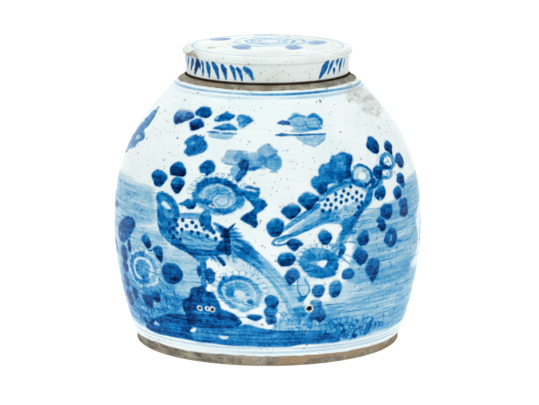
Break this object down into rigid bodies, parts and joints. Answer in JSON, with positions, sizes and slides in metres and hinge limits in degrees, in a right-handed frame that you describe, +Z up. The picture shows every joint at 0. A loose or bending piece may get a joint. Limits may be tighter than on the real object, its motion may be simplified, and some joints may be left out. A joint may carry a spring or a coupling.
{
  "type": "lidded ginger jar",
  "caption": "Squat round-shouldered porcelain jar with a short neck, and a flat cap lid that drops over the neck and lifts off.",
  "frame": {"origin": "centre of the foot ring, on the surface the jar stands on", "axes": "+Z up along the axis of the jar and lid; -Y is the side with the two painted birds"},
  "size_m": [0.25, 0.25, 0.2394],
  "materials": {
    "jar_glaze": "glossy bluish-white glaze with cobalt-blue painting under it; neck, ledge and foot are bare grey-brown clay",
    "lid_glaze": "glossy bluish-white glaze with cobalt-blue painting under it; lower edge is bare clay"
  },
  "bodies": {
    "jar": {"jar_body": "jar_glaze"},
    "lid": {"lid": "lid_glaze"}
  },
  "joints": [
    {"name": "lid_lift", "type": "slide", "parent": "jar", "child": "lid", "axis": [0, 0, 1], "range_m": [0, 0.15]}
  ]
}
